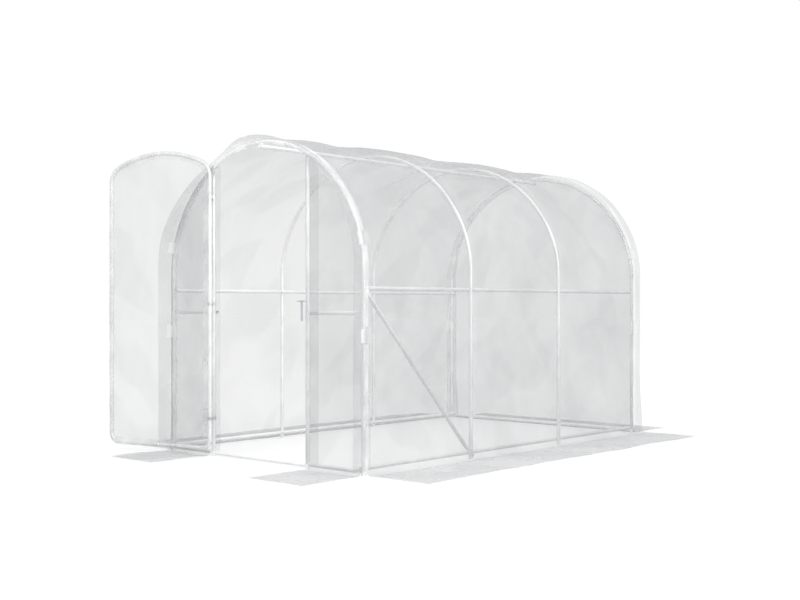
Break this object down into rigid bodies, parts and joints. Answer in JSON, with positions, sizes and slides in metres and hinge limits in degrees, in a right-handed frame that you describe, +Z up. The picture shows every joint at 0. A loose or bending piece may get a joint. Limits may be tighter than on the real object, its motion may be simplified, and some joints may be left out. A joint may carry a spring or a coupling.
{
  "type": "polytunnel greenhouse",
  "caption": "Walk-in polytunnel greenhouse: arched steel tube hoops under clear film, with ground flaps and an arched hinged door held by a turn latch.",
  "frame": {"origin": "middle of the tunnel's plan at ground level", "axes": "+X to the tunnel's right seen from the door end, +Y from the door end to the rear, +Z up"},
  "size_m": [2.8382, 4, 2.0357],
  "materials": {
    "galvanised_tube": "galvanised steel tube, dull light grey",
    "zinc_fitting": "zinc-plated steel",
    "white_clip": "white plastic",
    "clear_film": "clear polyethylene film, wrinkled"
  },
  "bodies": {
    "frame": {"hoop_1_arch": "galvanised_tube", "hoop_1_leg_left": "galvanised_tube", "hoop_1_leg_right": "galvanised_tube", "hoop_2_arch": "galvanised_tube", "hoop_2_leg_left": "galvanised_tube", "hoop_2_leg_right": "galvanised_tube", "hoop_3_arch": "galvanised_tube", "hoop_3_leg_left": "galvanised_tube", "hoop_3_leg_right": "galvanised_tube", "hoop_4_arch": "galvanised_tube", "hoop_4_leg_left": "galvanised_tube", "hoop_4_leg_right": "galvanised_tube", "ridge_pole": "galvanised_tube", "side_rail_left": "galvanised_tube", "side_rail_right": "galvanised_tube", "base_rail_left": "galvanised_tube", "base_rail_right": "galvanised_tube", "front_base_rail_left": "galvanised_tube", "front_base_rail_right": "galvanised_tube", "rear_base_rail": "galvanised_tube", "threshold_bar": "galvanised_tube", "door_post_left": "galvanised_tube", "door_post_right": "galvanised_tube", "cross_bar_left": "galvanised_tube", "cross_bar_right": "galvanised_tube", "diagonal_brace": "galvanised_tube", "front_film_clips": "white_clip", "rear_film_clips": "white_clip", "hinge_clamps": "zinc_fitting", "latch_pin": "zinc_fitting", "cover_roof": "clear_film", "cover_wall_left": "clear_film", "cover_wall_right": "clear_film", "front_panel_left": "clear_film", "front_panel_right": "clear_film", "rear_panel": "clear_film", "ground_flap_left": "clear_film", "ground_flap_right": "clear_film", "ground_flap_rear": "clear_film", "ground_flap_front_left": "clear_film", "ground_flap_front_right": "clear_film"},
    "door": {"door_hinge_stile": "galvanised_tube", "door_free_stile": "galvanised_tube", "door_top_tube": "galvanised_tube", "door_bottom_tube": "galvanised_tube", "door_film": "clear_film"},
    "latch": {"latch_strip": "zinc_fitting"}
  },
  "joints": [
    {"name": "door_hinge", "type": "hinge", "parent": "frame", "child": "door", "pos_m": [-0.448, -1.545, 1], "axis": [0, 0, 1], "range_deg": [0, 168]},
    {"name": "latch_turn", "type": "hinge", "parent": "frame", "child": "latch", "pos_m": [0.448, -1.564, 1.015], "axis": [0, 1, 0], "range_deg": [0, 90]}
  ]
}
